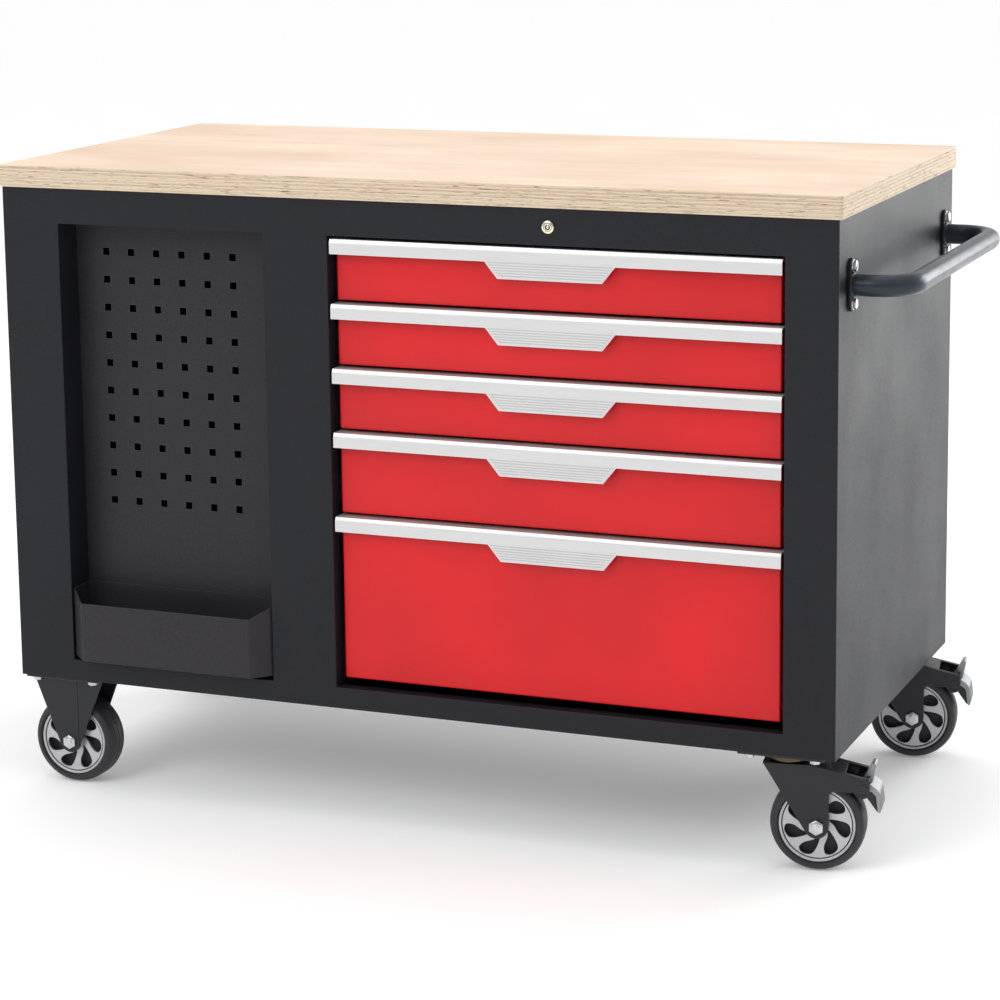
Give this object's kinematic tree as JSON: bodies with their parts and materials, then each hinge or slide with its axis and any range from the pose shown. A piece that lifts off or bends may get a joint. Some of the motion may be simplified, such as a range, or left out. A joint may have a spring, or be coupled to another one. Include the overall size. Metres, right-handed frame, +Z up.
{
  "type": "mobile workbench with drawers",
  "caption": "Wheeled steel workbench with a plywood top, a stack of red drawers, a recessed perforated tool bay with a tray, and a push handle on one side.",
  "frame": {"origin": "on the floor, under the middle of the whole outline (worktop, tray and push handle included)", "axes": "+X along the bench towards the push handle, +Y from the drawer side to the back, +Z up"},
  "size_m": [1.284, 0.615, 0.885],
  "materials": {
    "plywood": "satin",
    "black_steel": "textured",
    "zinc_steel": "satin",
    "lock_metal": "polished",
    "handle_steel": "satin",
    "red_steel": "satin",
    "pull_aluminium": "satin",
    "wheel_silver": "satin",
    "wheel_tyre": "matt",
    "pedal_metal": "cast"
  },
  "bodies": {
    "cabinet": {"worktop": "plywood", "front_frame": "black_steel", "side_panel_left": "black_steel", "side_panel_right": "black_steel", "back_panel": "black_steel", "base_panel": "black_steel", "drawer_wall_left": "black_steel", "drawer_wall_right": "black_steel", "perforated_panel": "black_steel", "tool_tray": "black_steel", "slide_rails": "zinc_steel", "lock_housing": "lock_metal", "handle_tube": "handle_steel", "handle_flanges": "black_steel", "handle_bolts": "zinc_steel", "caster_bolts": "zinc_steel", "swivel_plates": "zinc_steel", "fixed_fork_front": "black_steel", "fixed_fork_rear": "black_steel", "fixed_axle_front": "zinc_steel", "fixed_axle_rear": "zinc_steel"},
    "drawer_1": {"drawer_1_box": "black_steel", "drawer_1_front": "red_steel", "drawer_1_pull": "pull_aluminium", "drawer_1_runners": "zinc_steel"},
    "drawer_2": {"drawer_2_box": "black_steel", "drawer_2_front": "red_steel", "drawer_2_pull": "pull_aluminium", "drawer_2_runners": "zinc_steel"},
    "drawer_3": {"drawer_3_box": "black_steel", "drawer_3_front": "red_steel", "drawer_3_pull": "pull_aluminium", "drawer_3_runners": "zinc_steel"},
    "drawer_4": {"drawer_4_box": "black_steel", "drawer_4_front": "red_steel", "drawer_4_pull": "pull_aluminium", "drawer_4_runners": "zinc_steel"},
    "drawer_5": {"drawer_5_box": "black_steel", "drawer_5_front": "red_steel", "drawer_5_pull": "pull_aluminium", "drawer_5_runners": "zinc_steel"},
    "lock_plug": {"lock_cylinder": "lock_metal", "lock_cam": "lock_metal"},
    "wheel_left_front": {"rim_left_front": "wheel_silver", "tyre_left_front": "wheel_tyre"},
    "wheel_left_rear": {"rim_left_rear": "wheel_silver", "tyre_left_rear": "wheel_tyre"},
    "swivel_front": {"swivel_fork_front": "black_steel", "swivel_axle_front": "zinc_steel", "brake_pin_front": "zinc_steel"},
    "wheel_right_front": {"rim_right_front": "wheel_silver", "tyre_right_front": "wheel_tyre"},
    "brake_front": {"brake_pedal_front": "pedal_metal"},
    "swivel_rear": {"swivel_fork_rear": "black_steel", "swivel_axle_rear": "zinc_steel", "brake_pin_rear": "zinc_steel"},
    "wheel_right_rear": {"rim_right_rear": "wheel_silver", "tyre_right_rear": "wheel_tyre"},
    "brake_rear": {"brake_pedal_rear": "pedal_metal"}
  },
  "joints": [
    {"name": "drawer_1_slide", "type": "slide", "parent": "cabinet", "child": "drawer_1", "axis": [0, -1, 0], "range_m": [0, 0.38]},
    {"name": "drawer_2_slide", "type": "slide", "parent": "cabinet", "child": "drawer_2", "axis": [0, -1, 0], "range_m": [0, 0.38]},
    {"name": "drawer_3_slide", "type": "slide", "parent": "cabinet", "child": "drawer_3", "axis": [0, -1, 0], "range_m": [0, 0.38]},
    {"name": "drawer_4_slide", "type": "slide", "parent": "cabinet", "child": "drawer_4", "axis": [0, -1, 0], "range_m": [0, 0.38]},
    {"name": "drawer_5_slide", "type": "slide", "parent": "cabinet", "child": "drawer_5", "axis": [0, -1, 0], "range_m": [0, 0.38]},
    {"name": "lock_turn", "type": "hinge", "parent": "cabinet", "child": "lock_plug", "pos_m": [0.1685, -0.2875, 0.8305], "axis": [0, 1, 0], "range_deg": [0, 90]},
    {"name": "wheel_left_front_spin", "type": "hinge", "parent": "cabinet", "child": "wheel_left_front", "pos_m": [-0.573, -0.24239, 0.0625], "axis": [0, 1, 0], "continuous": true},
    {"name": "wheel_left_rear_spin", "type": "hinge", "parent": "cabinet", "child": "wheel_left_rear", "pos_m": [-0.573, 0.25739, 0.0625], "axis": [0, 1, 0], "continuous": true},
    {"name": "swivel_front_turn", "type": "hinge", "parent": "cabinet", "child": "swivel_front", "pos_m": [0.48, -0.24239, 0.16], "axis": [0, 0, 1], "continuous": true},
    {"name": "wheel_right_front_spin", "type": "hinge", "parent": "swivel_front", "child": "wheel_right_front", "pos_m": [0.51753, -0.23645, 0.0625], "axis": [-0.1564, 0.9877, 0], "continuous": true},
    {"name": "brake_front_press", "type": "hinge", "parent": "swivel_front", "child": "brake_front", "pos_m": [0.57679, -0.22706, 0.119], "axis": [-0.1564, 0.9877, 0], "range_deg": [0, 25]},
    {"name": "swivel_rear_turn", "type": "hinge", "parent": "cabinet", "child": "swivel_rear", "pos_m": [0.48, 0.25739, 0.16], "axis": [0, 0, 1], "continuous": true},
    {"name": "wheel_right_rear_spin", "type": "hinge", "parent": "swivel_rear", "child": "wheel_right_rear", "pos_m": [0.51753, 0.26334, 0.0625], "axis": [-0.1564, 0.9877, 0], "continuous": true},
    {"name": "brake_rear_press", "type": "hinge", "parent": "swivel_rear", "child": "brake_rear", "pos_m": [0.57679, 0.27272, 0.119], "axis": [-0.1564, 0.9877, 0], "range_deg": [0, 25]}
  ]
}
